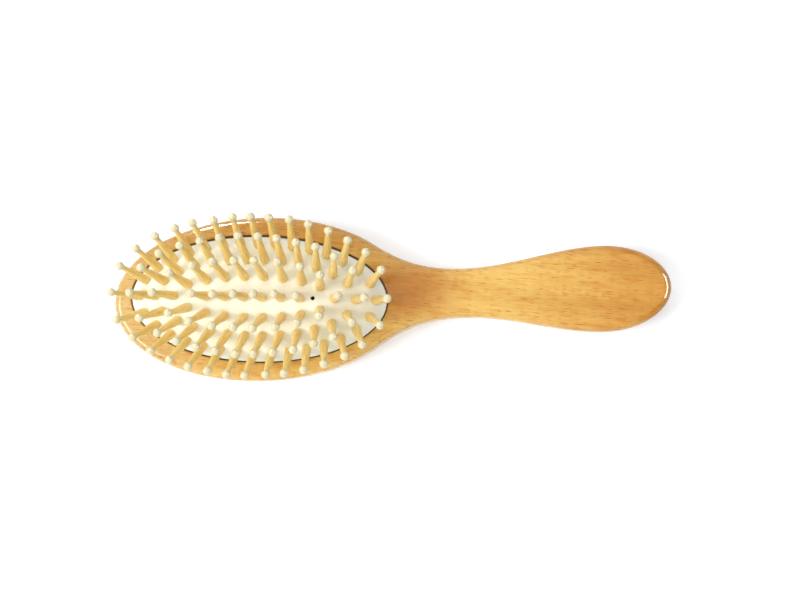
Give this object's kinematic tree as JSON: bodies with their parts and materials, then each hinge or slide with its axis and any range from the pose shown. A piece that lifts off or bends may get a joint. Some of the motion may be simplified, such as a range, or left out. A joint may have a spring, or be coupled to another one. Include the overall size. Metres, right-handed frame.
{
  "type": "oval cushion hair brush",
  "caption": "Oval cushion hair brush: one-piece beech body, domed rubber pad in an undercut recess and turned wooden ball-tipped pins that sink with the pad.",
  "frame": {"origin": "on the flat back, half way along the overall length and on the brush's long axis", "axes": "+X from the head towards the end of the handle, +Y across the head, +Z out of the pin side"},
  "size_m": [0.22, 0.065, 0.0427],
  "materials": {
    "lacquered_beech": "clear satin lacquer over steamed beech",
    "cream_rubber": "matt, with a fine woven imprint",
    "pin_wood": "turned and tumbled smooth, waxed"
  },
  "bodies": {
    "brush_body": {"wooden_body": "lacquered_beech", "rubber_cushion": "cream_rubber"},
    "centre_row": {"pin_pair_centre_01": "pin_wood", "pin_pair_centre_02": "pin_wood", "pin_pair_centre_03": "pin_wood"},
    "inner_ring": {"pin_pair_inner_01": "pin_wood", "pin_pair_inner_02": "pin_wood", "pin_pair_inner_03": "pin_wood", "pin_pair_inner_04": "pin_wood", "pin_pair_inner_05": "pin_wood", "pin_pair_inner_06": "pin_wood", "pin_pair_inner_07": "pin_wood", "pin_pair_inner_08": "pin_wood", "pin_pair_inner_09": "pin_wood"},
    "middle_ring": {"pin_pair_middle_01": "pin_wood", "pin_pair_middle_02": "pin_wood", "pin_pair_middle_03": "pin_wood", "pin_pair_middle_04": "pin_wood", "pin_pair_middle_05": "pin_wood", "pin_pair_middle_06": "pin_wood", "pin_pair_middle_07": "pin_wood", "pin_pair_middle_08": "pin_wood", "pin_pair_middle_09": "pin_wood", "pin_pair_middle_10": "pin_wood", "pin_pair_middle_11": "pin_wood", "pin_pair_middle_12": "pin_wood", "pin_pair_middle_13": "pin_wood"},
    "outer_ring": {"pin_outer_01": "pin_wood", "pin_outer_02": "pin_wood", "pin_outer_03": "pin_wood", "pin_outer_04": "pin_wood", "pin_outer_05": "pin_wood", "pin_outer_06": "pin_wood", "pin_outer_07": "pin_wood", "pin_outer_08": "pin_wood", "pin_outer_09": "pin_wood", "pin_outer_10": "pin_wood", "pin_outer_11": "pin_wood", "pin_outer_12": "pin_wood", "pin_outer_13": "pin_wood", "pin_outer_14": "pin_wood", "pin_outer_15": "pin_wood", "pin_outer_16": "pin_wood", "pin_outer_17": "pin_wood", "pin_outer_18": "pin_wood", "pin_outer_19": "pin_wood", "pin_outer_20": "pin_wood", "pin_outer_21": "pin_wood", "pin_outer_22": "pin_wood", "pin_outer_23": "pin_wood", "pin_outer_24": "pin_wood", "pin_outer_25": "pin_wood", "pin_outer_26": "pin_wood", "pin_outer_27": "pin_wood", "pin_outer_28": "pin_wood", "pin_outer_29": "pin_wood", "pin_outer_30": "pin_wood", "pin_outer_31": "pin_wood", "pin_outer_32": "pin_wood"}
  },
  "joints": [
    {"name": "cushion_press", "type": "slide", "parent": "brush_body", "child": "centre_row", "axis": [0, 0, -1], "range_m": [0, 0.004], "stiffness_N_per_m": 1200, "deforming": ["rubber_cushion"]},
    {"name": "inner_ring_press", "type": "slide", "parent": "brush_body", "child": "inner_ring", "axis": [0, 0, -1], "range_m": [0, 0.00362]},
    {"name": "middle_ring_press", "type": "slide", "parent": "brush_body", "child": "middle_ring", "axis": [0, 0, -1], "range_m": [0, 0.00264]},
    {"name": "outer_ring_press", "type": "slide", "parent": "brush_body", "child": "outer_ring", "axis": [0, 0, -1], "range_m": [0, 0.00118]}
  ],
  "couplings": [
    {"joint": "inner_ring_press", "follows": "cushion_press", "ratio": 0.9014},
    {"joint": "middle_ring_press", "follows": "cushion_press", "ratio": 0.65426},
    {"joint": "outer_ring_press", "follows": "cushion_press", "ratio": 0.29104}
  ]
}
